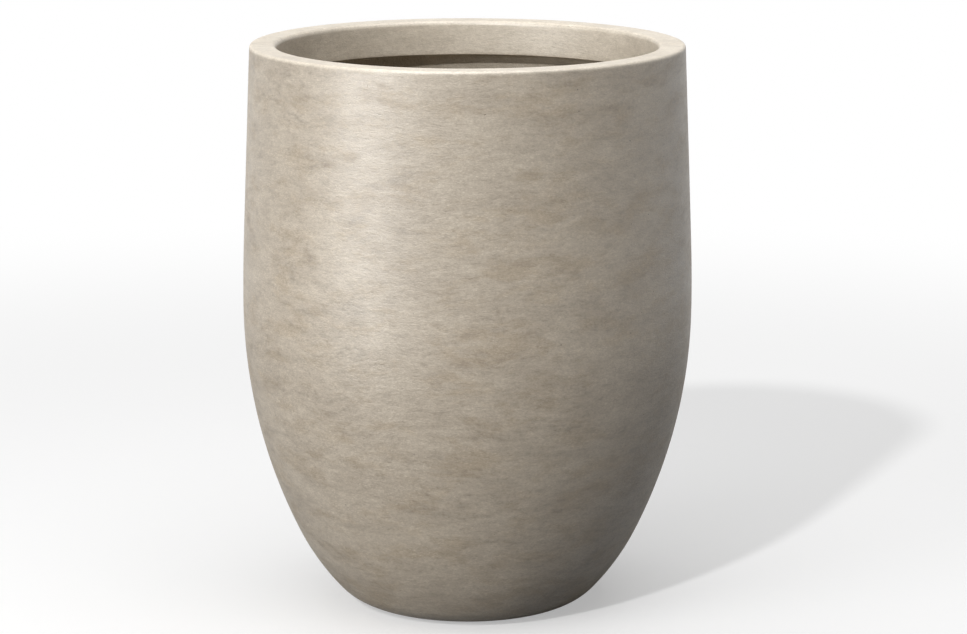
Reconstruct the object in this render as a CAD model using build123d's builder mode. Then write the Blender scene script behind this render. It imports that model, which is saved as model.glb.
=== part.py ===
from build123d import *

import os
from math import cos, radians, sin, tan

# Tall round concrete planter, cast in a mould in layers, with a rubber plug in its drain hole.
# Millimetres. The planter's axis is Z, and the floor that it stands on is z = 0.
# Each section is drawn with radius across and height up, and is turned about the axis.

# Outer form, from the floor up. A lean is the angle in degrees between the wall and the vertical.
PLANTER_HEIGHT = 550.0
WAIST_DIAMETER = 436.5
BASE_DIAMETER = 171.0
FOOT_RADIUS = 58.0
FOOT_LEAN = 42.8
HEEL_RADIUS = 232.0
HEEL_LEAN = 26.1
SHOULDER_RADIUS = 1690.0
TAPER_LEAN = 2.26

# Rim and mouth
RIM_WIDTH = 26.2
BAND_DEPTH = 34.5
RIM_OUTER_FILLET = 3.0
RIM_INNER_FILLET = 5.0

# Cast wall and floor
WALL_THICKNESS = 12.0
FLOOR_THICKNESS = 18.0
FLOOR_CORNER_RADIUS = 18.0
BEAD_CORNER_RADIUS = 6.0

# Layers of the casting, from the mould's face inwards
FACE_COAT_THICKNESS = 4.0
MESH_THICKNESS = 1.0
MESH_COVER = 6.0
BASE_MESH_HEIGHT = 40.0
RIM_MESH_LEG = 90.0

# Drain hole
DRAIN_DIAMETER = 25.0
DRAIN_CHAMFER = 1.5

# Drain plug
PLUG_CLEARANCE = 0.25
PLUG_FLANGE_DIAMETER = 42.0
PLUG_FLANGE_THICKNESS = 4.0
PLUG_GRIP_DIAMETER = 14.0
PLUG_GRIP_HEIGHT = 10.0
PLUG_NECK_DIAMETER = 23.0
PLUG_TIP_DIAMETER = 21.0
PLUG_TIP_HEIGHT = 3.0
PLUG_EDGE_RADIUS = 1.2
PLUG_RIB_RADIUS = 1.3
PLUG_RIB_PITCH = 5.0
PLUG_RIB_COUNT = 2

CORNER = (Align.MIN, Align.MIN)

foot_angle = radians(FOOT_LEAN)
heel_angle = radians(HEEL_LEAN)
taper_angle = radians(TAPER_LEAN)

# The foot and heel arcs set where the flank starts, and the waist sets how far round it swings.
waist_radius = WAIST_DIAMETER / 2
heel_top_radius = (
    BASE_DIAMETER / 2 + FOOT_RADIUS * cos(foot_angle) + HEEL_RADIUS * (cos(heel_angle) - cos(foot_angle))
)
heel_top_height = FOOT_RADIUS * (1 - sin(foot_angle)) + HEEL_RADIUS * (sin(foot_angle) - sin(heel_angle))
flank_radius = (waist_radius - heel_top_radius) / (1 - cos(heel_angle))
waist_height = heel_top_height + flank_radius * sin(heel_angle)
shoulder_height = waist_height + SHOULDER_RADIUS * sin(taper_angle)
shoulder_top_radius = waist_radius - SHOULDER_RADIUS * (1 - cos(taper_angle))
rim_radius = shoulder_top_radius - (PLANTER_HEIGHT - shoulder_height) * tan(taper_angle)
mouth_radius = rim_radius - RIM_WIDTH
band_bottom = PLANTER_HEIGHT - BAND_DEPTH
rim_mesh_bottom = PLANTER_HEIGHT - RIM_MESH_LEG
drain_radius = DRAIN_DIAMETER / 2


def inside_skin(depth, top):
    """Half section of the space that lies depth or more inside the outer form, up to the height top."""
    with BuildSketch() as section:
        with BuildLine():
            base = Line((0, depth), (BASE_DIAMETER / 2, depth))
            foot = JernArc(base @ 1, base % 1, FOOT_RADIUS - depth, 90 - FOOT_LEAN)
            heel = JernArc(foot @ 1, foot % 1, HEEL_RADIUS - depth, FOOT_LEAN - HEEL_LEAN)
            flank = JernArc(heel @ 1, heel % 1, flank_radius - depth, HEEL_LEAN)
            shoulder = JernArc(flank @ 1, flank % 1, SHOULDER_RADIUS - depth, TAPER_LEAN)
            rise = (top - (shoulder @ 1).Y) / cos(taper_angle)
            side = PolarLine(shoulder @ 1, rise, direction=shoulder % 1)
            Polyline(side @ 1, (0, top), (0, depth))
        make_face()
    return section.sketch_local


def behind_face(depth):
    """Half section of everything that lies depth or more behind the mould's face, round the open mouth."""
    with BuildSketch() as section:
        add(inside_skin(depth, PLANTER_HEIGHT - depth))
        with Locations((0, band_bottom)):
            Rectangle(mouth_radius + depth, BAND_DEPTH, align=CORNER, mode=Mode.SUBTRACT)
    return section.sketch_local


def soil_space():
    """Half section of the hollow below the band, between the floor, the wall and the rim's bead."""
    with BuildSketch() as section:
        add(inside_skin(WALL_THICKNESS, band_bottom))
        Rectangle(waist_radius, FLOOR_THICKNESS, align=CORNER, mode=Mode.SUBTRACT)
        floor_corner = section.vertices().group_by(Axis.Y)[0].sort_by(Axis.X)[-1]
        fillet(floor_corner, FLOOR_CORNER_RADIUS)
        bead_corner = section.vertices().group_by(Axis.Y)[-1].sort_by(Axis.X)[-1]
        fillet(bead_corner, BEAD_CORNER_RADIUS)
    return section.sketch_local


def drain_hole():
    """Half section of the hole through the floor, chamfered at both ends."""
    chamfer_radius = drain_radius + DRAIN_CHAMFER
    with BuildSketch() as section:
        with BuildLine():
            Polyline(
                (0, 0),
                (chamfer_radius, 0),
                (drain_radius, DRAIN_CHAMFER),
                (drain_radius, FLOOR_THICKNESS - DRAIN_CHAMFER),
                (chamfer_radius, FLOOR_THICKNESS),
                (0, FLOOR_THICKNESS),
                close=True,
            )
        make_face()
    return section.sketch_local


def mesh_layer():
    """Half section of the glass-fibre mesh behind the face coat, kept back from the two open edges."""
    with BuildSketch() as section:
        add(behind_face(FACE_COAT_THICKNESS))
        add(behind_face(FACE_COAT_THICKNESS + MESH_THICKNESS), mode=Mode.SUBTRACT)
        Rectangle(drain_radius + MESH_COVER, FLOOR_THICKNESS, align=CORNER, mode=Mode.SUBTRACT)
        with Locations((0, band_bottom)):
            Rectangle(mouth_radius + RIM_WIDTH / 2, MESH_COVER, align=CORNER, mode=Mode.SUBTRACT)
    return section.sketch_local


def mesh_piece(low, high):
    """Half section of the mesh between two heights."""
    with BuildSketch() as section:
        add(mesh_layer())
        with Locations((0, low)):
            Rectangle(waist_radius, high - low, align=CORNER, mode=Mode.INTERSECT)
    return section.sketch_local


os.makedirs("parts", exist_ok=True)

# Face coat: the fine outer skin, which also covers the base, the rim and the band inside the mouth
with BuildPart() as face_coat:
    with BuildSketch(Plane.XZ) as face_section:
        add(behind_face(0))
        rim_outer_corner = face_section.vertices().group_by(Axis.Y)[-1].sort_by(Axis.X)[-1]
        fillet(rim_outer_corner, RIM_OUTER_FILLET)
        rim_inner_corner = face_section.vertices().group_by(Axis.Y)[-1].sort_by(Axis.X)[0]
        fillet(rim_inner_corner, RIM_INNER_FILLET)
        add(behind_face(FACE_COAT_THICKNESS), mode=Mode.SUBTRACT)
        add(drain_hole(), mode=Mode.SUBTRACT)
    revolve(axis=Axis.Z)
face_coat.part.label = "face_coat"
export_step(face_coat.part, "parts/face_coat.step")

# Base mesh: the dish of glass-fibre mesh laid in the bottom of the mould
with BuildPart() as base_mesh:
    with BuildSketch(Plane.XZ):
        add(mesh_piece(0, BASE_MESH_HEIGHT))
    revolve(axis=Axis.Z)
base_mesh.part.label = "base_mesh"
export_step(base_mesh.part, "parts/base_mesh.step")

# Wall mesh: the sleeve of mesh round the wall
with BuildPart() as wall_mesh:
    with BuildSketch(Plane.XZ):
        add(mesh_piece(BASE_MESH_HEIGHT, rim_mesh_bottom))
    revolve(axis=Axis.Z)
wall_mesh.part.label = "wall_mesh"
export_step(wall_mesh.part, "parts/wall_mesh.step")

# Rim mesh: the strip of mesh folded over inside the rim and down behind the band
with BuildPart() as rim_mesh:
    with BuildSketch(Plane.XZ):
        add(mesh_piece(rim_mesh_bottom, PLANTER_HEIGHT))
    revolve(axis=Axis.Z)
rim_mesh.part.label = "rim_mesh"
export_step(rim_mesh.part, "parts/rim_mesh.step")

# Backing coat: the coarser fibre-filled concrete that makes the wall, the floor and the rim's bead
with BuildPart() as backing_coat:
    with BuildSketch(Plane.XZ):
        add(behind_face(FACE_COAT_THICKNESS))
        add(mesh_layer(), mode=Mode.SUBTRACT)
        add(soil_space(), mode=Mode.SUBTRACT)
        add(drain_hole(), mode=Mode.SUBTRACT)
    revolve(axis=Axis.Z)
backing_coat.part.label = "backing_coat"
export_step(backing_coat.part, "parts/backing_coat.step")

# Drain plug: a rubber bung pushed down into the drain hole, with its flange on the planter's floor
flange_top = FLOOR_THICKNESS + PLUG_FLANGE_THICKNESS
grip_top = flange_top + PLUG_GRIP_HEIGHT
rib_centre_radius = drain_radius - PLUG_CLEARANCE - PLUG_RIB_RADIUS
rib_heights = [FLOOR_THICKNESS - PLUG_RIB_PITCH * (i + 1) for i in range(PLUG_RIB_COUNT)]

with BuildPart() as drain_plug:
    with BuildSketch(Plane.XZ) as plug_section:
        with BuildLine():
            Polyline(
                (0, PLUG_TIP_HEIGHT),
                (PLUG_TIP_DIAMETER / 2, PLUG_TIP_HEIGHT),
                (PLUG_NECK_DIAMETER / 2, FLOOR_THICKNESS),
                (PLUG_FLANGE_DIAMETER / 2, FLOOR_THICKNESS),
                (PLUG_FLANGE_DIAMETER / 2, flange_top),
                (PLUG_GRIP_DIAMETER / 2, flange_top),
                (PLUG_GRIP_DIAMETER / 2, grip_top),
                (0, grip_top),
                close=True,
            )
        make_face()
        tip_corner = plug_section.vertices().group_by(Axis.Y)[0].sort_by(Axis.X)[-1]
        grip_corner = plug_section.vertices().group_by(Axis.Y)[-1].sort_by(Axis.X)[-1]
        flange_corners = plug_section.vertices().group_by(Axis.X)[-1]
        fillet([tip_corner, grip_corner] + flange_corners, PLUG_EDGE_RADIUS)
        with Locations([(rib_centre_radius, height) for height in rib_heights]):
            Circle(PLUG_RIB_RADIUS)
    revolve(axis=Axis.Z)
drain_plug.part.label = "drain_plug"
export_step(drain_plug.part, "parts/drain_plug.step")

print(f"flank radius {flank_radius:.2f}, waist height {waist_height:.2f}, shoulder height {shoulder_height:.2f}")
print(f"rim radius {rim_radius:.2f}, mouth radius {mouth_radius:.2f}, band bottom {band_bottom:.2f}")
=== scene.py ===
"""Tall round planter in weathered lightweight concrete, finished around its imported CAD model."""

import math
import random

import bmesh
import bpy
from mathutils import Matrix, Vector, kdtree, noise


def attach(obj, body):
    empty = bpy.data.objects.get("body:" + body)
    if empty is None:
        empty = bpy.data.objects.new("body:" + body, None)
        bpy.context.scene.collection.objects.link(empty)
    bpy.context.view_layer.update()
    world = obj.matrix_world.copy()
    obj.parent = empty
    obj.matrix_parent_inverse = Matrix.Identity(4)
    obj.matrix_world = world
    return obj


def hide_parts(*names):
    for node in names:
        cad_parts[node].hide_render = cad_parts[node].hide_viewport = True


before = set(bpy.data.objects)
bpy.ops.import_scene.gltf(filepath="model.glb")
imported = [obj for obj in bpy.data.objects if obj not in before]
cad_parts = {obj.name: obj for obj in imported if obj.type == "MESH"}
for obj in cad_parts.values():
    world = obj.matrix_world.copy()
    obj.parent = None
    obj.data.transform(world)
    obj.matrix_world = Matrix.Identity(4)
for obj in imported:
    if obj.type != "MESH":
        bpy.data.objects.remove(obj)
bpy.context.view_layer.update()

# Sizes in metres, and leans in degrees from the vertical, the same as in the CAD model
HEIGHT = 0.550
WAIST_RADIUS = 0.21825
BASE_RADIUS = 0.0855
FOOT_RADIUS = 0.058
FOOT_LEAN = 42.8
HEEL_RADIUS = 0.232
HEEL_LEAN = 26.1
SHOULDER_RADIUS = 1.690
TAPER_LEAN = 2.26
RIM_WIDTH = 0.0262
BAND_DEPTH = 0.0345
RIM_OUTER_FILLET = 0.003
RIM_INNER_FILLET = 0.005
WALL_THICKNESS = 0.012
FLOOR_THICKNESS = 0.018
FLOOR_CORNER = 0.018
BEAD_CORNER = 0.006
FACE_COAT = 0.004
MESH = 0.001
MESH_COVER = 0.006
DRAIN_RADIUS = 0.0125
DRAIN_CHAMFER = 0.0015

# Rounding of the band's lower edge, which the CAD model leaves sharp
BAND_EDGE = 0.0008

# Metres between the points of a section, along its arcs
FACE_SPACING = 0.0029
INSIDE_SPACING = 0.0036
HIDDEN_SPACING = 0.012

# Steps round the planter's axis
FACE_STEPS = 288
INSIDE_STEPS = 240
PLUG_STEPS = 96

MERGE_DISTANCE = 1e-6


def outward(angle):
    """Direction in the half section, away from the axis and up at an angle in radians."""
    return Vector((math.cos(angle), 0, math.sin(angle)))


def inward(angle):
    """Direction in the half section, towards the axis and up at an angle in radians."""
    return Vector((-math.cos(angle), 0, math.sin(angle)))


foot_angle = math.radians(FOOT_LEAN)
heel_angle = math.radians(HEEL_LEAN)
taper = math.radians(TAPER_LEAN)
foot_centre = Vector((BASE_RADIUS, 0, FOOT_RADIUS))
heel_centre = foot_centre + inward(foot_angle) * (HEEL_RADIUS - FOOT_RADIUS)
heel_top_radius = heel_centre.x + HEEL_RADIUS * math.cos(heel_angle)
flank_radius = (WAIST_RADIUS - heel_top_radius) / (1 - math.cos(heel_angle))
flank_centre = heel_centre + inward(heel_angle) * (flank_radius - HEEL_RADIUS)
shoulder_centre = Vector((WAIST_RADIUS - SHOULDER_RADIUS, 0, flank_centre.z))
shoulder_top = shoulder_centre + outward(taper) * SHOULDER_RADIUS
rim_radius = shoulder_top.x - (HEIGHT - shoulder_top.z) * math.tan(taper)
mouth_radius = rim_radius - RIM_WIDTH
band_bottom = HEIGHT - BAND_DEPTH

SKIN_ARCS = (  # centre, radius, lean at the low end, lean at the high end
    (foot_centre, FOOT_RADIUS, 90.0, FOOT_LEAN),
    (heel_centre, HEEL_RADIUS, FOOT_LEAN, HEEL_LEAN),
    (flank_centre, flank_radius, HEEL_LEAN, 0.0),
    (shoulder_centre, SHOULDER_RADIUS, 0.0, -TAPER_LEAN),
)


def taper_radius(depth, height):
    """Radius of the straight upper wall at a height, depth in from its face."""
    return rim_radius + ((HEIGHT - height) * math.sin(taper) - depth) / math.cos(taper)


def shoulder_point(depth):
    """Where the straight upper wall starts, depth in from its face."""
    return shoulder_centre + outward(taper) * (SHOULDER_RADIUS - depth)


# ---------------------------------------------------------------- sections and turned forms

def start_section(radius, height):
    """A new mesh that holds the first point of a half section."""
    bm = bmesh.new()
    bm.verts.layers.float.new("give")
    return bm, bm.verts.new((radius, 0, height))


def line_to(bm, tip, radius, height, steps=1):
    """Runs the section on in a straight line and gives its new tip."""
    start, end = tip.co.copy(), Vector((radius, 0, height))
    for step in range(1, steps + 1):
        tip = bmesh.ops.extrude_vert_indiv(bm, verts=[tip])["verts"][0]
        tip.co = start.lerp(end, step / steps)
    return tip


def arc_to(bm, tip, centre, degrees, steps):
    """Turns the section about a centre, anticlockwise with the radius to the right and the height up."""
    swung = bmesh.ops.spin(
        bm, geom=[tip], cent=centre, axis=(0, -1, 0), angle=math.radians(degrees), steps=steps,
        use_duplicate=False,
    )
    return [v for v in swung["geom_last"] if isinstance(v, bmesh.types.BMVert)][0]


def arc_steps(radius, degrees, spacing):
    """How many steps an arc takes."""
    return max(1, round(math.radians(degrees) * radius / spacing))


def up_the_skin(bm, tip, depth, first_lean, spacing):
    """Follows the outer form upwards, depth in from its face, as far as the straight upper wall."""
    for centre, radius, low, high in SKIN_ARCS:
        swing = min(low, first_lean) - high
        if swing > 0:
            tip = arc_to(bm, tip, centre, swing, arc_steps(radius - depth, swing, spacing))
    return tip


def down_the_skin(bm, tip, depth, spacing):
    """Follows the outer form downwards, depth in from its face, to the flat base."""
    for centre, radius, low, high in reversed(SKIN_ARCS):
        tip = arc_to(bm, tip, centre, high - low, arc_steps(radius - depth, low - high, spacing))
    return tip


def mark_free(bm, free):
    """Marks the points of a section that hand work may move with 1, and all the others with 0."""
    give = bm.verts.layers.float["give"]
    for vert in bm.verts:
        vert[give] = 1.0 if vert in free else 0.0


def free_points(bm):
    """The points that hand work may move."""
    give = bm.verts.layers.float["give"]
    return [vert for vert in bm.verts if vert[give] != 0]


def turn_section(bm, steps):
    """Turns a closed half section right round the planter's axis."""
    bmesh.ops.remove_doubles(bm, verts=bm.verts[:], dist=MERGE_DISTANCE)
    bmesh.ops.spin(
        bm, geom=bm.verts[:] + bm.edges[:], cent=(0, 0, 0), axis=(0, 0, 1), angle=math.tau, steps=steps,
        use_merge=True, use_duplicate=False,
    )
    bmesh.ops.remove_doubles(bm, verts=bm.verts[:], dist=MERGE_DISTANCE)
    bmesh.ops.recalc_face_normals(bm, faces=bm.faces[:])
    bm.normal_update()


def finish_piece(bm, name, material):
    """Makes a smooth-shaded object of a mesh, standing where it was drawn."""
    mesh = bpy.data.meshes.new(name)
    bm.to_mesh(mesh)
    bm.free()
    mesh.polygons.foreach_set("use_smooth", [True] * len(mesh.polygons))
    mesh.materials.append(material)
    piece = bpy.data.objects.new(name, mesh)
    bpy.context.scene.collection.objects.link(piece)
    return piece


# ---------------------------------------------------------------- material tools

FLOAT, VECTOR = "NodeSocketFloat", "NodeSocketVector"


def add_node(tree, kind, inputs=None, **settings):
    """Adds a node. An input that is given a socket is linked to it, and any other is set."""
    made = tree.nodes.new(kind)
    for name, value in settings.items():
        setattr(made, name, value)
    for name, value in (inputs or {}).items():
        if isinstance(value, bpy.types.NodeSocket):
            tree.links.new(value, made.inputs[name])
        else:
            made.inputs[name].default_value = value
    return made


def math_node(tree, operation, first, second=None, third=None):
    """One sum on up to three values or sockets."""
    inputs = {place: value for place, value in enumerate((first, second, third)) if value is not None}
    return add_node(tree, "ShaderNodeMath", inputs, operation=operation).outputs[0]


def times(tree, first, second):
    """One value or socket times another."""
    return math_node(tree, "MULTIPLY", first, second)


def split(tree, vector):
    """The X, Y and Z of a vector."""
    return add_node(tree, "ShaderNodeSeparateXYZ", {"Vector": vector}).outputs


def join(tree, x, y, z=0.0):
    """A vector of three values."""
    return add_node(tree, "ShaderNodeCombineXYZ", {"X": x, "Y": y, "Z": z}).outputs["Vector"]


def length(tree, vector):
    """How long a vector is."""
    return add_node(tree, "ShaderNodeVectorMath", {0: vector}, operation="LENGTH").outputs["Value"]


def mix_colour(tree, factor, first, second, blend="MIX"):
    """Mixes two colours, or lays the second over the first in a blend mode."""
    made = add_node(
        tree, "ShaderNodeMix", {0: factor, 6: first, 7: second}, data_type="RGBA", blend_type=blend,
        clamp_factor=True,
    )
    return made.outputs[2]


def tint(tree, colour, mask, strength, shade, blend="MIX"):
    """Lays a shade over a colour where a mask is, at a strength."""
    return mix_colour(tree, times(tree, mask, strength), colour, shade, blend)


def remap(tree, value, low, high, to_low=0.0, to_high=1.0, smooth=False):
    """Spreads one range of a value over another, held at both ends."""
    inputs = {"Value": value, "From Min": low, "From Max": high, "To Min": to_low, "To Max": to_high}
    kind = "SMOOTHSTEP" if smooth else "LINEAR"
    made = add_node(tree, "ShaderNodeMapRange", inputs, interpolation_type=kind, clamp=True)
    return made.outputs["Result"]


def fractal(tree, vector, scale, detail=2.0, roughness=0.5, distortion=0.0):
    """A cloudy value from 0 to 1, with its middle at 0.5."""
    inputs = {
        "Vector": vector, "Scale": scale, "Detail": detail, "Roughness": roughness, "Distortion": distortion,
    }
    return add_node(tree, "ShaderNodeTexNoise", inputs).outputs["Fac"]


def weighted(tree, pairs, middle=0.5):
    """Adds up values, each less 0.5 and times its own share, about a middle."""
    total = middle
    for value, share in pairs:
        apart = math_node(tree, "SUBTRACT", value, 0.5)
        total = math_node(tree, "MULTIPLY_ADD", apart, share, total)
    return total


def seen_rays(tree):
    """Sockets for the rays that come from the camera, and for those that come from it or a reflection."""
    rays = add_node(tree, "ShaderNodeLightPath").outputs
    return rays["Is Camera Ray"], math_node(tree, "MAXIMUM", rays["Is Camera Ray"], rays["Is Glossy Ray"])


def new_group(name, inputs, outputs):
    """An empty shader group. Inputs are (name, kind, value) and outputs are the names of values."""
    tree = bpy.data.node_groups.new(name, "ShaderNodeTree")
    for label, kind, value in inputs:
        socket = tree.interface.new_socket(name=label, in_out="INPUT", socket_type=kind)
        if value is not None:
            socket.default_value = value
    for label in outputs:
        tree.interface.new_socket(name=label, in_out="OUTPUT", socket_type=FLOAT)
    return tree, tree.nodes.new("NodeGroupInput").outputs, tree.nodes.new("NodeGroupOutput")


def place_group(tree, group, inputs):
    """Places a shader group in a material with its own values."""
    return add_node(tree, "ShaderNodeGroup", inputs, node_tree=group).outputs


def new_material(name):
    """A material with a bare Principled shader and the piece's own coordinates."""
    material = bpy.data.materials.new(name)
    material.use_nodes = True
    tree = material.node_tree
    shader = tree.nodes["Principled BSDF"]
    place = add_node(tree, "ShaderNodeTexCoord").outputs["Object"]
    return material, tree, shader, place


def dress(tree, shader, colour, roughness, relief, distance, strength):
    """Gives a shader its colour, its roughness and a fine relief, distance in metres high."""
    raised = add_node(tree, "ShaderNodeBump", {"Height": relief, "Distance": distance, "Strength": strength})
    tree.links.new(colour, shader.inputs["Base Color"])
    tree.links.new(roughness, shader.inputs["Roughness"])
    tree.links.new(raised.outputs["Normal"], shader.inputs["Normal"])


# ---------------------------------------------------------------- shader groups

def make_flow_group():
    """Marks of cement slurry in a mould, from felt and flakes to clouds, all drawn out level."""
    sway_scale, sway_height = 11.0, 0.016
    soft_stretch = 2.7
    tree, given, out = new_group(
        "cement flow",
        [("Vector", VECTOR, None), ("Flakes per Metre", FLOAT, 130.0), ("Stretch", FLOAT, 4.0)],
        ["Felt", "Flakes", "Streaks", "Blotches", "Stains", "Clouds"],
    )
    flakes = given["Flakes per Metre"]
    drift = fractal(tree, given["Vector"], sway_scale)
    sway = times(tree, math_node(tree, "SUBTRACT", drift, 0.5), sway_height)
    parts = split(tree, given["Vector"])
    level = math_node(tree, "ADD", parts["Z"], sway)
    flat = join(tree, parts["X"], parts["Y"], times(tree, level, given["Stretch"]))
    soft = join(tree, parts["X"], parts["Y"], times(tree, level, soft_stretch))
    made = {
        "Felt": fractal(tree, flat, times(tree, flakes, 2.5), roughness=0.6),
        "Flakes": fractal(tree, flat, flakes),
        "Streaks": fractal(tree, flat, times(tree, flakes, 0.40), distortion=0.1),
        "Blotches": fractal(tree, soft, 21.0, detail=5.0, roughness=0.62, distortion=0.25),
        "Stains": fractal(tree, soft, 17.0, detail=6.0, roughness=0.72, distortion=0.15),
        "Clouds": fractal(tree, soft, 7.0),
    }
    for label, value in made.items():
        tree.links.new(value, out.inputs[label])
    return tree


def make_grain_group():
    """Sand grain: a fine speckle with a coarser one under it."""
    tree, given, out = new_group(
        "sand grain", [("Vector", VECTOR, None), ("Grains per Metre", FLOAT, 900.0)], ["Grain"]
    )
    fine = fractal(tree, given["Vector"], given["Grains per Metre"], roughness=0.7)
    coarse = fractal(tree, given["Vector"], times(tree, given["Grains per Metre"], 0.3), detail=1.0)
    tree.links.new(weighted(tree, [(fine, 0.7), (coarse, 0.5)]), out.inputs["Grain"])
    return tree


def make_speck_group():
    """Scattered round specks of mixed sizes, such as pinholes, in a share of the cells of a grid."""
    smallest = 0.3
    core = 0.6
    tree, given, out = new_group(
        "scattered specks",
        [("Vector", VECTOR, None), ("Cells per Metre", FLOAT, 90.0), ("Size", FLOAT, 0.1),
         ("Share", FLOAT, 0.2)],
        ["Specks"],
    )
    cells = add_node(
        tree, "ShaderNodeTexVoronoi", {"Vector": given["Vector"], "Scale": given["Cells per Metre"]}
    ).outputs
    draw = add_node(tree, "ShaderNodeSeparateColor", {"Color": cells["Color"]}).outputs
    chosen = math_node(tree, "LESS_THAN", draw["Red"], given["Share"])
    spread = math_node(tree, "MULTIPLY_ADD", draw["Green"], 1 - smallest, smallest)
    size = times(tree, given["Size"], spread)
    round_mask = remap(tree, cells["Distance"], times(tree, size, core), size, 1.0, 0.0, smooth=True)
    tree.links.new(times(tree, round_mask, chosen), out.inputs["Specks"])
    return tree


flow_group = make_flow_group()
grain_group = make_grain_group()
speck_group = make_speck_group()


# ---------------------------------------------------------------- materials

# Colours as linear red, green, blue and alpha
FACE_DARK, FACE_PALE = (0.300, 0.244, 0.180, 1), (0.600, 0.522, 0.414, 1)
# Painted light: the paler colours of the rim's top and the inner band, standing in for the strong light that
# falls there
PAINTED_LIGHT_DARK, PAINTED_LIGHT_PALE = (0.640, 0.560, 0.445, 1), (0.965, 0.875, 0.735, 1)
STAIN = (0.80, 0.745, 0.66, 1)
FLECK = (0.74, 0.665, 0.545, 1)
WISP = (0.235, 0.195, 0.150, 1)
# Painted shade: the dark inside of the face's pinholes
FACE_HOLE_SHADE = (0.09, 0.075, 0.06, 1)
BACKING_DARK, BACKING_PALE = (0.360, 0.312, 0.246, 1), (0.630, 0.562, 0.462, 1)
CHOPPED_FIBRE = (0.55, 0.53, 0.48, 1)
# Painted shade: the dark inside of the backing's pinholes
BACKING_HOLE_SHADE = (0.05, 0.043, 0.035, 1)
STRAND_DARK, STRAND_PALE = (0.70, 0.71, 0.69, 1), (0.86, 0.87, 0.85, 1)
WEAVE_GAP = (0.42, 0.37, 0.30, 1)
RUBBER_DARK, RUBBER_PALE = (0.018, 0.018, 0.020, 1), (0.034, 0.034, 0.036, 1)
DUST = (0.20, 0.18, 0.15, 1)

# Painted light: how far the rim's top and the inner band are coloured paler, for the light that falls on them
RIM_PAINTED_LIGHT = 0.72
BAND_PAINTED_LIGHT = 0.60
WEAVE_PITCH = 0.005
STRANDS_ROUND = 260


def painted_rim_light(tree, place):
    """Painted light: how much paler the rim's top and the inner band are coloured, for the light that falls
    on them from above and the front, from 0 to 1.
    """
    parts = split(tree, place)
    on_top = remap(tree, parts["Z"], HEIGHT - 0.0045, HEIGHT - 0.0010, 0.0, RIM_PAINTED_LIGHT, smooth=True)
    off_axis = length(tree, join(tree, parts["X"], parts["Y"]))
    in_mouth = remap(tree, off_axis, mouth_radius + 0.0020, mouth_radius + 0.0005, 0.0, BAND_PAINTED_LIGHT)
    above = math_node(tree, "GREATER_THAN", parts["Z"], band_bottom - 0.001)
    return math_node(tree, "MAXIMUM", on_top, times(tree, in_mouth, above))


def make_face_concrete():
    """The mould side of the casting: level flakes, cloudy blotches, faint wisps and a low satin sheen."""
    material, tree, shader, place = new_material("face concrete")
    flow = place_group(tree, flow_group, {"Vector": place, "Flakes per Metre": 165.0, "Stretch": 3.1})
    grain = place_group(tree, grain_group, {"Vector": place, "Grains per Metre": 1000.0})["Grain"]
    pinholes = place_group(
        tree, speck_group, {"Vector": place, "Cells per Metre": 60.0, "Size": 0.055, "Share": 0.16}
    )["Specks"]

    tone = weighted(
        tree,
        [(flow["Felt"], 0.90), (flow["Flakes"], 0.60), (flow["Streaks"], 0.62), (flow["Blotches"], 0.95),
         (flow["Clouds"], 0.35), (grain, 0.80)],
    )
    stains = remap(tree, flow["Stains"], 0.47, 0.64, smooth=True)
    flecks = times(
        tree, remap(tree, flow["Felt"], 0.56, 0.70), remap(tree, flow["Blotches"], 0.46, 0.60)
    )
    wisps = times(
        tree, remap(tree, flow["Streaks"], 0.42, 0.30), remap(tree, flow["Blotches"], 0.54, 0.40)
    )
    colour = mix_colour(tree, tone, FACE_DARK, FACE_PALE)
    colour = tint(tree, colour, stains, 0.72, STAIN, "MULTIPLY")
    colour = tint(tree, colour, flecks, 0.35, FLECK)
    colour = tint(tree, colour, wisps, 0.30, WISP)
    # Pinholes: painted shade in their colour, and a real dip in the relief below
    colour = tint(tree, colour, pinholes, 0.8, FACE_HOLE_SHADE)
    # Painted light: the rim's top and the inner band are coloured paler where light falls strongly on them
    painted_light_colour = mix_colour(tree, tone, PAINTED_LIGHT_DARK, PAINTED_LIGHT_PALE)
    colour = mix_colour(tree, painted_rim_light(tree, place), colour, painted_light_colour)

    sheen = weighted(
        tree,
        [(flow["Felt"], 0.15), (flow["Flakes"], 0.20), (flow["Stains"], 0.25), (grain, 0.12)],
        middle=0.46,
    )
    relief = weighted(
        tree, [(flow["Felt"], 0.80), (flow["Flakes"], 0.8), (flow["Streaks"], 0.6), (grain, 0.5)]
    )
    relief = math_node(tree, "SUBTRACT", relief, times(tree, pinholes, 1.2))
    dress(tree, shader, colour, sheen, relief, distance=0.0004, strength=0.52)
    shader.inputs["IOR"].default_value = 1.65
    shader.inputs["Specular IOR Level"].default_value = 1.0
    return material


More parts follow.
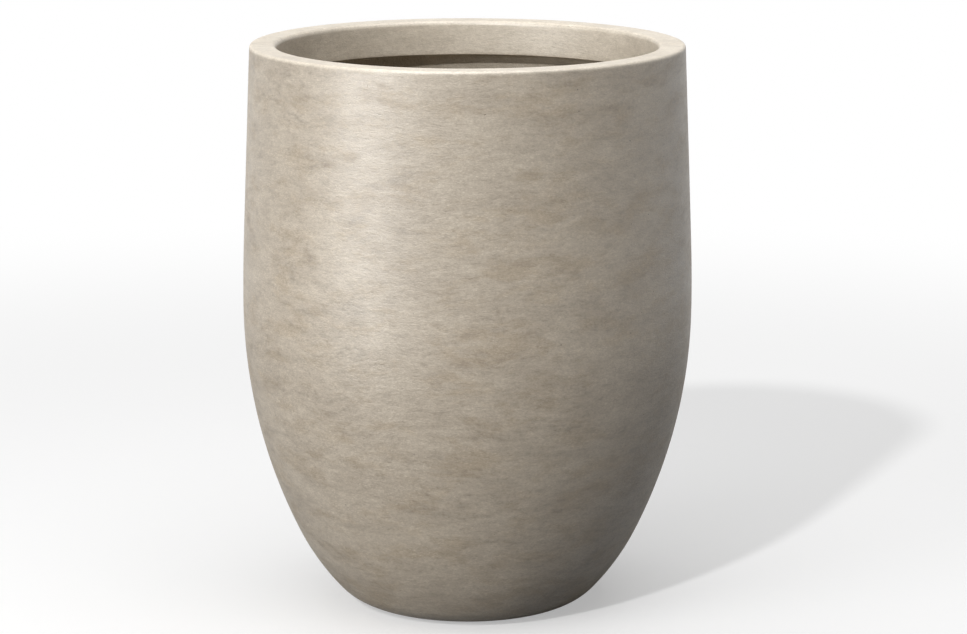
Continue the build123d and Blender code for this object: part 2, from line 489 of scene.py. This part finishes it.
def make_backing_concrete():
    """The hand side of the casting: coarse, sandy and matt, with chopped fibres showing."""
    material, tree, shader, place = new_material("backing concrete")
    flow = place_group(tree, flow_group, {"Vector": place, "Flakes per Metre": 90.0, "Stretch": 1.6})
    grain = place_group(tree, grain_group, {"Vector": place, "Grains per Metre": 420.0})["Grain"]
    pinholes = place_group(
        tree, speck_group, {"Vector": place, "Cells per Metre": 75.0, "Size": 0.16, "Share": 0.30}
    )["Specks"]

    tone = weighted(
        tree,
        [(flow["Flakes"], 0.6), (flow["Streaks"], 0.5), (flow["Blotches"], 1.0), (flow["Clouds"], 0.5),
         (grain, 0.5)],
    )
    curl = fractal(tree, place, 48.0, detail=1.0, distortion=1.2)
    from_line = math_node(tree, "ABSOLUTE", math_node(tree, "SUBTRACT", curl, 0.5))
    lines = remap(tree, from_line, 0.004, 0.010, 1.0, 0.0)
    fibres = times(tree, lines, remap(tree, flow["Flakes"], 0.50, 0.58))
    colour = mix_colour(tree, tone, BACKING_DARK, BACKING_PALE)
    colour = tint(tree, colour, fibres, 0.45, CHOPPED_FIBRE)
    # Pinholes: painted shade in their colour, and a real dip in the relief below
    colour = tint(tree, colour, pinholes, 0.7, BACKING_HOLE_SHADE)

    rough = weighted(tree, [(flow["Flakes"], 0.15), (grain, 0.15)], middle=0.86)
    relief = weighted(tree, [(flow["Flakes"], 1.0), (flow["Streaks"], 1.0), (grain, 0.9)])
    relief = math_node(tree, "SUBTRACT", relief, times(tree, pinholes, 0.8))
    relief = math_node(tree, "MULTIPLY_ADD", fibres, 0.25, relief)
    dress(tree, shader, colour, rough, relief, distance=0.0012, strength=0.8)
    shader.inputs["Specular IOR Level"].default_value = 0.4
    return material


def make_glass_mesh():
    """Coated glass-fibre mesh: a square open weave, in strands that run round and up."""
    material, tree, shader, place = new_material("glass mesh")
    parts = split(tree, place)
    turn = math_node(tree, "ARCTAN2", parts["Y"], parts["X"])
    waves = []
    for along, pitch in ((turn, math.tau / STRANDS_ROUND), (parts["Z"], WEAVE_PITCH)):
        wave = math_node(tree, "SINE", times(tree, along, math.pi / pitch))
        waves.append(math_node(tree, "ABSOLUTE", wave))
    from_strand = math_node(tree, "MINIMUM", waves[0], waves[1])
    strand = remap(tree, from_strand, 0.45, 0.70, 1.0, 0.0, smooth=True)
    grain = place_group(tree, grain_group, {"Vector": place, "Grains per Metre": 1500.0})["Grain"]
    fibre = mix_colour(tree, weighted(tree, [(grain, 0.8)]), STRAND_DARK, STRAND_PALE)
    colour = mix_colour(tree, strand, WEAVE_GAP, fibre)
    rough = remap(tree, strand, 0.0, 1.0, 0.85, 0.45)
    relief = math_node(tree, "MULTIPLY_ADD", grain, 0.2, strand)
    dress(tree, shader, colour, rough, relief, distance=0.0005, strength=0.7)
    return material


def make_plug_rubber():
    """Moulded black rubber with a fine matt skin and a little dust."""
    material, tree, shader, place = new_material("plug rubber")
    grain = place_group(tree, grain_group, {"Vector": place, "Grains per Metre": 1800.0})["Grain"]
    settled = remap(tree, fractal(tree, place, 160.0, detail=4.0, roughness=0.65), 0.48, 0.72)
    colour = mix_colour(tree, weighted(tree, [(grain, 0.9)]), RUBBER_DARK, RUBBER_PALE)
    colour = tint(tree, colour, settled, 0.35, DUST)
    bare = weighted(tree, [(grain, 0.3)], middle=0.52)
    rough = math_node(tree, "MULTIPLY_ADD", settled, 0.25, bare)
    dress(tree, shader, colour, rough, grain, distance=0.0002, strength=0.5)
    shader.inputs["Specular IOR Level"].default_value = 0.5
    return material


face_concrete = make_face_concrete()
backing_concrete = make_backing_concrete()
glass_mesh = make_glass_mesh()
plug_rubber = make_plug_rubber()


# ---------------------------------------------------------------- face coat

# Slow and quick waves in the skin: waves per metre across and up, half the height in metres, and a shift
SKIN_WAVES = (
    (9, 13, 0.00013, Vector((3.1, 7.7, 1.9))),
    (38, 60, 0.00003, Vector((9.4, 2.6, 5.3))),
)
SKIN_FADE_HEIGHT = 0.02

# Air holes near the front of the wall: turn in degrees, then height, radius and depth in metres
AIR_HOLES = (
    (4.5, 0.512, 0.0009, 0.0011), (9.0, 0.430, 0.0006, 0.0008), (10.3, 0.424, 0.0006, 0.0007),
    (8.2, 0.094, 0.0006, 0.0008), (8.9, 0.046, 0.0006, 0.0007), (5.2, 0.187, 0.0005, 0.0007),
    (6.0, 0.179, 0.0006, 0.0008), (7.7, 0.181, 0.0005, 0.0007), (7.2, 0.166, 0.0006, 0.0008),
    (4.9, 0.157, 0.0005, 0.0006), (6.2, 0.156, 0.0005, 0.0006), (4.1, 0.141, 0.0005, 0.0006),
)

# Air holes strewn over the rest of the wall
STREWN_HOLES = 70
STREWN_SEED = 11
STREWN_TURNS = (25, 335)
STREWN_HEIGHTS = (0.05, 0.535)
STREWN_RADII = (0.0003, 0.0006)
STREWN_DEPTHS = (1.0, 1.5)  # times the radius

# The rings of an air hole: the share of its radius that each takes in, and of its depth that each falls
HOLE_MARGIN = 0.0002
HOLE_LIP = 1.3
HOLE_RINGS = ((0.28, 0), (0.22, 0.75), (0.35, 0.25))

LEAST_OUTWARD = 0.4


def draw_face_section():
    """Half section of the face coat: its mould side finely stepped, its hidden side coarse."""
    bm, tip = start_section(DRAIN_RADIUS + DRAIN_CHAMFER, 0)
    tip = line_to(bm, tip, BASE_RADIUS, 0, steps=10)
    on_the_floor = set(bm.verts)
    tip = up_the_skin(bm, tip, 0, 90.0, FACE_SPACING)
    fillet_height = HEIGHT - RIM_OUTER_FILLET
    fillet_centre = Vector((taper_radius(RIM_OUTER_FILLET, fillet_height), 0, fillet_height))
    wall_end = fillet_centre + outward(taper) * RIM_OUTER_FILLET
    tip = line_to(bm, tip, wall_end.x, wall_end.z, steps=62)
    tip = arc_to(bm, tip, fillet_centre, 90 - TAPER_LEAN, steps=8)
    inner_centre = (mouth_radius + RIM_INNER_FILLET, 0, HEIGHT - RIM_INNER_FILLET)
    tip = line_to(bm, tip, mouth_radius + RIM_INNER_FILLET, HEIGHT, steps=6)
    tip = arc_to(bm, tip, inner_centre, 90, steps=9)
    tip = line_to(bm, tip, mouth_radius, band_bottom + BAND_EDGE, steps=10)
    tip = arc_to(bm, tip, (mouth_radius + BAND_EDGE, 0, band_bottom + BAND_EDGE), 90, steps=3)
    free = set(bm.verts) - on_the_floor

    tip = line_to(bm, tip, mouth_radius + FACE_COAT, band_bottom)
    tip = line_to(bm, tip, mouth_radius + FACE_COAT, HEIGHT - FACE_COAT, steps=2)
    tip = line_to(bm, tip, taper_radius(FACE_COAT, HEIGHT - FACE_COAT), HEIGHT - FACE_COAT, steps=2)
    wall_top = shoulder_point(FACE_COAT)
    tip = line_to(bm, tip, wall_top.x, wall_top.z, steps=8)
    tip = down_the_skin(bm, tip, FACE_COAT, HIDDEN_SPACING)
    tip = line_to(bm, tip, DRAIN_RADIUS, FACE_COAT, steps=2)
    tip = line_to(bm, tip, DRAIN_RADIUS, DRAIN_CHAMFER)
    line_to(bm, tip, DRAIN_RADIUS + DRAIN_CHAMFER, 0)
    mark_free(bm, free)
    return bm


def ease_the_skin(bm):
    """Takes the mould side in by up to a third of a millimetre, in waves, as a casting smoothed by hand has.
    """
    for vert in free_points(bm):
        where = vert.co
        taken = 0
        for across, up, half_height, shift in SKIN_WAVES:
            scaled = Vector((where.x * across, where.y * across, where.z * up))
            taken += half_height * (1 + noise.noise(scaled + shift))
        vert.co -= vert.normal * taken * min(1.0, where.z / SKIN_FADE_HEIGHT)


def pick_air_holes(faces, rng):
    """The faces nearest to the stated air holes, and to others strewn over the rest of the wall."""
    tree = kdtree.KDTree(len(faces))
    for index, face in enumerate(faces):
        tree.insert(face.calc_center_median(), index)
    tree.balance()
    wanted = list(AIR_HOLES)
    for _ in range(STREWN_HOLES):
        turn, height = rng.uniform(*STREWN_TURNS), rng.uniform(*STREWN_HEIGHTS)
        radius = rng.uniform(*STREWN_RADII)
        wanted.append((turn, height, radius, radius * rng.uniform(*STREWN_DEPTHS)))
    picked = {}
    for turn, height, radius, depth in wanted:
        angle = math.radians(turn - 90)
        aim = Vector((math.cos(angle) * WAIST_RADIUS, math.sin(angle) * WAIST_RADIUS, height))
        index = tree.find(aim)[1]
        picked.setdefault(index, (faces[index], radius, depth))
    return picked.values()


def sink_air_hole(bm, face, radius, depth):
    """Sinks a small round air hole into one face, with a flat ring round it."""
    centre, normal = face.calc_center_median(), face.normal.copy()
    bmesh.ops.inset_individual(bm, faces=[face], thickness=HOLE_MARGIN, depth=0)
    bmesh.ops.bisect_edges(bm, edges=list(face.edges), cuts=1)
    first = face.verts[0].co - centre
    first = (first - normal * first.dot(normal)).normalized()
    corners = len(face.verts)
    for place, vert in enumerate(face.verts):
        turned = Matrix.Rotation(math.tau * place / corners, 3, normal) @ first
        vert.co = centre + turned * radius * HOLE_LIP
    for taken, fall in HOLE_RINGS:
        bmesh.ops.inset_individual(bm, faces=[face], thickness=radius * taken, depth=-depth * fall)


def build_face_coat():
    """The face coat, eased by hand, with its air holes in the faces that look outwards."""
    bm = draw_face_section()
    turn_section(bm, FACE_STEPS)
    ease_the_skin(bm)
    bm.normal_update()
    free = set(free_points(bm))
    wall = []
    for face in bm.faces:
        away = face.calc_center_median().to_2d().normalized()
        if free.issuperset(face.verts) and face.normal.to_2d().dot(away) > LEAST_OUTWARD:
            wall.append(face)
    for face, radius, depth in pick_air_holes(wall, random.Random(STREWN_SEED)):
        sink_air_hole(bm, face, radius, depth)
    return finish_piece(bm, "face_coat_skin", face_concrete)


face_skin = build_face_coat()
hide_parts("face_coat")
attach(face_skin, "planter")


# ---------------------------------------------------------------- backing coat

# Low ridges and broad sweeps that trowelling leaves inside: waves per metre, and height in metres
RIDGES_PER_METRE, RIDGE_HEIGHT = 26, 0.00055
SWEEPS_PER_METRE, SWEEP_HEIGHT = 7, 0.0005
TROWEL_SQUASH = 1.3
TROWEL_LIMIT = 0.0011
BEAD_FADE = 0.006
PLUG_SEAT_RADIUS, PLUG_SEAT_FADE = 0.022, 0.02


def draw_backing_section():
    """Half section of the backing coat, drawn from the drain hole out over the floor and up the inside."""
    bm, tip = start_section(DRAIN_RADIUS, FLOOR_THICKNESS - DRAIN_CHAMFER)
    tip = line_to(bm, tip, DRAIN_RADIUS + DRAIN_CHAMFER, FLOOR_THICKNESS)
    edge = set(bm.verts)
    corner_height = FLOOR_THICKNESS + FLOOR_CORNER
    drop = foot_centre.z - corner_height
    reach = FOOT_RADIUS - WALL_THICKNESS - FLOOR_CORNER
    corner_centre = Vector((foot_centre.x + math.sqrt(reach ** 2 - drop ** 2), 0, corner_height))
    corner_turn = math.degrees(math.asin((corner_centre.x - foot_centre.x) / reach))
    tip = line_to(bm, tip, corner_centre.x, FLOOR_THICKNESS, steps=26)
    tip = arc_to(bm, tip, corner_centre, corner_turn, steps=5)
    tip = up_the_skin(bm, tip, WALL_THICKNESS, 90 - corner_turn, INSIDE_SPACING)
    bead_height = band_bottom - BEAD_CORNER
    bead_centre = Vector((taper_radius(WALL_THICKNESS + BEAD_CORNER, bead_height), 0, bead_height))
    wall_end = bead_centre + outward(taper) * BEAD_CORNER
    tip = line_to(bm, tip, wall_end.x, wall_end.z, steps=38)
    tip = arc_to(bm, tip, bead_centre, 90 - TAPER_LEAN, steps=6)
    free = set(bm.verts) - edge

    depth = FACE_COAT + MESH
    mesh_end = band_bottom + MESH_COVER
    tip = line_to(bm, tip, mouth_radius + FACE_COAT, band_bottom, steps=2)
    tip = line_to(bm, tip, mouth_radius + FACE_COAT, mesh_end)
    tip = line_to(bm, tip, mouth_radius + depth, mesh_end)
    tip = line_to(bm, tip, mouth_radius + depth, HEIGHT - depth)
    tip = line_to(bm, tip, taper_radius(depth, HEIGHT - depth), HEIGHT - depth)
    wall_top = shoulder_point(depth)
    tip = line_to(bm, tip, wall_top.x, wall_top.z, steps=8)
    tip = down_the_skin(bm, tip, depth, HIDDEN_SPACING)
    mesh_start = DRAIN_RADIUS + MESH_COVER
    tip = line_to(bm, tip, mesh_start, depth, steps=3)
    tip = line_to(bm, tip, mesh_start, FACE_COAT)
    tip = line_to(bm, tip, DRAIN_RADIUS, FACE_COAT)
    line_to(bm, tip, DRAIN_RADIUS, FLOOR_THICKNESS - DRAIN_CHAMFER, steps=3)
    mark_free(bm, free)
    return bm


def trowel_the_inside(bm):
    """Leaves the low ridges and hollows of a surface pressed on by hand, but not at the bead or the plug."""
    for vert in free_points(bm):
        where = vert.co
        squashed = Vector((where.x, where.y, where.z * TROWEL_SQUASH))
        ridges = noise.fractal(squashed * RIDGES_PER_METRE + Vector((4.2, 1.1, 8.8)), 0.9, 2.1, 4)
        sweeps = noise.noise(squashed * SWEEPS_PER_METRE + Vector((0.7, 5.9, 3.3)))
        raised = RIDGE_HEIGHT * ridges + SWEEP_HEIGHT * sweeps
        below_band = max(0.0, band_bottom - where.z) / BEAD_FADE
        off_plug = max(0.0, where.to_2d().length - PLUG_SEAT_RADIUS) / PLUG_SEAT_FADE
        fade = min(1.0, below_band, off_plug)
        vert.co -= vert.normal * max(-TROWEL_LIMIT, min(TROWEL_LIMIT, raised)) * fade


def build_backing_coat():
    """The backing coat, with the marks of the trowel inside."""
    bm = draw_backing_section()
    turn_section(bm, INSIDE_STEPS)
    trowel_the_inside(bm)
    return finish_piece(bm, "backing_coat_inside", backing_concrete)


backing_inside = build_backing_coat()
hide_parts("backing_coat")
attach(backing_inside, "planter")


# ---------------------------------------------------------------- drain plug

# Sizes of the plug in the CAD model
PLUG_TIP_RADIUS = 0.0105
PLUG_TIP_HEIGHT = 0.003
PLUG_NECK_RADIUS = 0.0115
PLUG_FLANGE_RADIUS = 0.021
PLUG_FLANGE_TOP = 0.022
PLUG_GRIP_RADIUS = 0.007
PLUG_GRIP_TOP = 0.032
PLUG_EDGE = 0.0012
PLUG_RIB_RADIUS = 0.0013
PLUG_RIB_CENTRE = 0.01095
PLUG_RIB_HEIGHTS = (0.008, 0.013)

# Moulded details that only this model has
TIP_HOLLOW_DEPTH = 0.0015
TIP_HOLLOW_RADIUS, TIP_RING_RADIUS = 0.006, 0.0072
NECK_CHAMFER = 0.0006
LIP_TOP_RADIUS, LIP_FOOT_RADIUS = 0.0180, 0.0172
LIP_HEIGHT = 0.0007
GRIP_FLARE, GRIP_FLARE_RISE, GRIP_FLARE_TURN = 0.0018, 0.0011, 84
DISH_RIM_RADIUS, DISH_RADIUS = 0.0042, 0.0032
DISH_EDGE_DEPTH, DISH_DEPTH = 0.0006, 0.0008


def plug_neck_radius(height):
    """Radius of the plug's tapered neck at a height."""
    share = (height - PLUG_TIP_HEIGHT) / (FLOOR_THICKNESS - PLUG_TIP_HEIGHT)
    return PLUG_TIP_RADIUS + (PLUG_NECK_RADIUS - PLUG_TIP_RADIUS) * share


def round_edge(bm, tip, radius, height):
    """Turns the section a quarter round a rounded edge of the plug, about its centre."""
    return arc_to(bm, tip, (radius, 0, height), 90, steps=5)


def build_plug():
    """The rubber bung: a hollowed tip, two sealing ribs, a flange with a raised lip, and a dished grip."""
    flange_edge = PLUG_FLANGE_RADIUS - PLUG_EDGE
    bm, tip = start_section(0, PLUG_TIP_HEIGHT + TIP_HOLLOW_DEPTH)
    tip = line_to(bm, tip, TIP_HOLLOW_RADIUS, PLUG_TIP_HEIGHT + TIP_HOLLOW_DEPTH, steps=3)
    tip = line_to(bm, tip, TIP_RING_RADIUS, PLUG_TIP_HEIGHT, steps=2)
    tip = line_to(bm, tip, PLUG_TIP_RADIUS - PLUG_EDGE, PLUG_TIP_HEIGHT, steps=2)
    tip = round_edge(bm, tip, PLUG_TIP_RADIUS - PLUG_EDGE, PLUG_TIP_HEIGHT + PLUG_EDGE)
    for height in PLUG_RIB_HEIGHTS:
        proud = plug_neck_radius(height) - PLUG_RIB_CENTRE
        half = math.degrees(math.acos(proud / PLUG_RIB_RADIUS))
        rise = PLUG_RIB_RADIUS * math.sin(math.radians(half))
        tip = line_to(bm, tip, PLUG_RIB_CENTRE + proud, height - rise, steps=2)
        tip = arc_to(bm, tip, (PLUG_RIB_CENTRE, 0, height), 2 * half, steps=10)
    tip = line_to(bm, tip, PLUG_NECK_RADIUS, FLOOR_THICKNESS - NECK_CHAMFER, steps=3)
    tip = line_to(bm, tip, PLUG_NECK_RADIUS + NECK_CHAMFER, FLOOR_THICKNESS, steps=2)
    tip = line_to(bm, tip, flange_edge, FLOOR_THICKNESS, steps=4)
    tip = round_edge(bm, tip, flange_edge, FLOOR_THICKNESS + PLUG_EDGE)
    tip = line_to(bm, tip, PLUG_FLANGE_RADIUS, PLUG_FLANGE_TOP - PLUG_EDGE)
    tip = round_edge(bm, tip, flange_edge, PLUG_FLANGE_TOP - PLUG_EDGE)
    tip = line_to(bm, tip, LIP_TOP_RADIUS, PLUG_FLANGE_TOP, steps=2)
    tip = line_to(bm, tip, LIP_FOOT_RADIUS, PLUG_FLANGE_TOP - LIP_HEIGHT, steps=2)
    tip = line_to(bm, tip, PLUG_GRIP_RADIUS + GRIP_FLARE, PLUG_FLANGE_TOP - LIP_HEIGHT, steps=4)
    flare_centre = (PLUG_GRIP_RADIUS + GRIP_FLARE, 0, PLUG_FLANGE_TOP + GRIP_FLARE_RISE)
    tip = arc_to(bm, tip, flare_centre, -GRIP_FLARE_TURN, steps=6)
    tip = line_to(bm, tip, PLUG_GRIP_RADIUS, PLUG_GRIP_TOP - PLUG_EDGE, steps=4)
    tip = round_edge(bm, tip, PLUG_GRIP_RADIUS - PLUG_EDGE, PLUG_GRIP_TOP - PLUG_EDGE)
    tip = line_to(bm, tip, DISH_RIM_RADIUS, PLUG_GRIP_TOP, steps=2)
    tip = line_to(bm, tip, DISH_RADIUS, PLUG_GRIP_TOP - DISH_EDGE_DEPTH, steps=2)
    line_to(bm, tip, 0, PLUG_GRIP_TOP - DISH_DEPTH, steps=3)
    turn_section(bm, PLUG_STEPS)
    return finish_piece(bm, "drain_plug_bung", plug_rubber)


bung = build_plug()
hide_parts("drain_plug")
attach(bung, "plug")


# ---------------------------------------------------------------- mesh pieces, which keep the CAD's shapes

for name in ("base_mesh", "wall_mesh", "rim_mesh"):
    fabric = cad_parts[name].data
    fabric.materials.clear()
    fabric.materials.append(glass_mesh)


# ---------------------------------------------------------------- floor, lights and camera

WHITE = (1, 1, 1, 1)
GROUND_SEEN = (0.63, 0.63, 0.63, 1)
GROUND_BOUNCE = (0.05, 0.05, 0.05, 1)
GROUND_LIFT = 0.40
GROUND_FADE = (0.7, 2.2)
GROUND_SIZE = 20
GROUND_GAP = 0.0004

WORLD_LEVEL = 0.07
AIM = Vector((0, 0, 0.30))
SUN_DISTANCE = 3

# The photograph's camera: lengths in pixels of its picture, places in metres, and pitch in degrees down
PHOTO_WIDTH = 967
PHOTO_FOCAL = 3554
PHOTO_SHIFT = 16
SENSOR_WIDTH = 36
CAMERA_PLACE = (0, -3.400, 0.970)
CAMERA_PITCH = 11.451


def make_floor():
    """A plain pale floor that fades to white away from the planter, and that is clear from below."""
    material, tree, shader, place = new_material("studio floor")
    tree.nodes.remove(shader)
    camera_ray, seen = seen_rays(tree)
    pale = mix_colour(tree, seen, GROUND_BOUNCE, GROUND_SEEN)
    matt = add_node(tree, "ShaderNodeBsdfDiffuse", {"Color": pale}).outputs[0]
    lift = times(tree, camera_ray, GROUND_LIFT)
    glow = add_node(tree, "ShaderNodeEmission", {"Color": WHITE, "Strength": lift}).outputs[0]
    near = add_node(tree, "ShaderNodeAddShader", {0: matt, 1: glow}).outputs[0]
    white = add_node(tree, "ShaderNodeEmission", {"Color": WHITE, "Strength": 1.0}).outputs[0]
    far = times(tree, remap(tree, length(tree, place), *GROUND_FADE, smooth=True), seen)
    lit = add_node(tree, "ShaderNodeMixShader", {0: far, 1: near, 2: white}).outputs[0]
    behind = add_node(tree, "ShaderNodeNewGeometry").outputs["Backfacing"]
    clear = add_node(tree, "ShaderNodeBsdfTransparent").outputs[0]
    both = add_node(tree, "ShaderNodeMixShader", {0: behind, 1: lit, 2: clear}).outputs[0]
    tree.links.new(both, tree.nodes["Material Output"].inputs["Surface"])

    bm = bmesh.new()
    lowered = Matrix.Translation((0, 0, -GROUND_GAP))
    bmesh.ops.create_grid(bm, x_segments=1, y_segments=1, size=GROUND_SIZE, matrix=lowered)
    floor = finish_piece(bm, "studio_floor", material)


def make_world():
    """White where the camera or a reflection sees it, and only a weak light from all round on the planter."""
    world = bpy.data.worlds.new("studio")
    bpy.context.scene.world = world
    world.use_nodes = True
    tree = world.node_tree
    _, seen = seen_rays(tree)
    background = tree.nodes["Background"]
    background.inputs["Color"].default_value = WHITE
    tree.links.new(remap(tree, seen, 0.0, 1.0, WORLD_LEVEL, 1.0), background.inputs["Strength"])


def hang_lamp(name, lamp, turn, rise, distance):
    """Hangs a lamp at a turn from the front, in degrees to the right, and a rise, turned to the planter."""
    turn, rise = math.radians(turn), math.radians(rise)
    flat = math.cos(rise)
    holder = bpy.data.objects.new(name, lamp)
    bpy.context.scene.collection.objects.link(holder)
    holder.location = AIM + Vector((math.sin(turn) * flat, -math.cos(turn) * flat, math.sin(rise))) * distance
    holder.rotation_euler = (holder.location - AIM).to_track_quat("Z", "Y").to_euler()


def add_sun(name, turn, rise, level, spread):
    """A sun lamp. Its level is how bright a white face turned square to it looks."""
    lamp = bpy.data.lights.new(name, "SUN")
    lamp.energy = level * math.pi
    lamp.angle = math.radians(spread)
    hang_lamp(name, lamp, turn, rise, SUN_DISTANCE)


def add_softbox(name, turn, rise, distance, width, height, level):
    """A rectangular softbox. Its level is how bright a white face turned square to it looks."""
    lamp = bpy.data.lights.new(name, "AREA")
    lamp.shape = "RECTANGLE"
    lamp.size, lamp.size_y = width, height
    lamp.energy = level * (math.pi * distance) ** 2
    hang_lamp(name, lamp, turn, rise, distance)


def make_camera():
    """A long lens at the photograph's place, looking down at the planter."""
    camera = bpy.data.cameras.new("camera")
    camera.sensor_width = SENSOR_WIDTH
    camera.lens = PHOTO_FOCAL / PHOTO_WIDTH * SENSOR_WIDTH
    camera.shift_x = PHOTO_SHIFT / PHOTO_WIDTH
    camera.clip_start, camera.clip_end = 0.1, 100
    holder = bpy.data.objects.new("camera", camera)
    bpy.context.scene.collection.objects.link(holder)
    holder.location = CAMERA_PLACE
    holder.rotation_euler = (math.radians(90 - CAMERA_PITCH), 0, 0)
    bpy.context.scene.camera = holder


make_floor()
make_world()
add_sun("key sun", turn=-24, rise=33.5, level=0.45, spread=3.0)
add_softbox("low box left", turn=-52, rise=8.0, distance=2.8, width=1.3, height=1.1, level=0.48)
add_softbox("box overhead", turn=0, rise=84, distance=2.4, width=2.8, height=2.8, level=0.85)
make_camera()
bpy.context.scene.view_settings.view_transform = "Standard"
